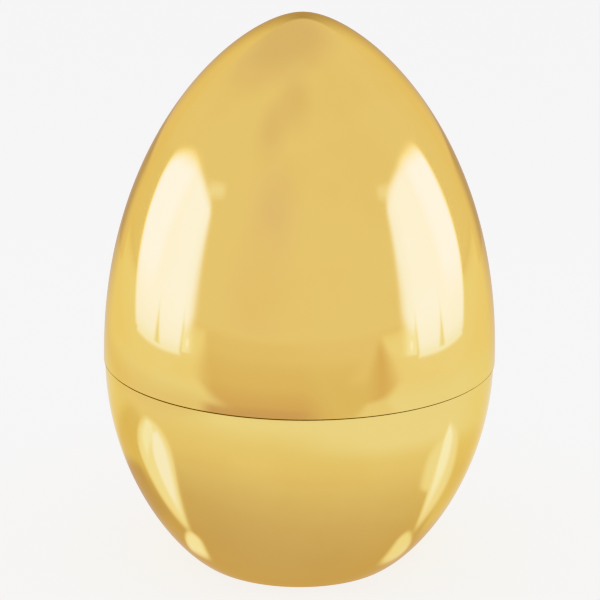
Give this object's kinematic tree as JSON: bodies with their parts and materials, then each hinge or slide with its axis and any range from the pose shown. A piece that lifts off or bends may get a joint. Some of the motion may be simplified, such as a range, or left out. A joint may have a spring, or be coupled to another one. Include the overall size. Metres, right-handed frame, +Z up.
{
  "type": "two-part plastic egg",
  "caption": "Shut gift egg of gold metallised plastic: a pointed upper shell with a proud rim on a rounded lower shell with a flat foot.",
  "frame": {"origin": "centre of the flat foot, on the surface the egg stands on", "axes": "+Z up along the egg's axis to its tip; the egg is round about it, and -Y is the side that the picture shows"},
  "size_m": [0.1762, 0.1762, 0.25],
  "materials": {
    "gold_upper": "moulded plastic, vacuum metallised and lacquered gold, mirror gloss",
    "gold_lower": "moulded plastic, vacuum metallised and lacquered gold, mirror gloss"
  },
  "bodies": {
    "root": {"upper_shell": "gold_upper", "lower_shell": "gold_lower"}
  },
  "joints": []
}
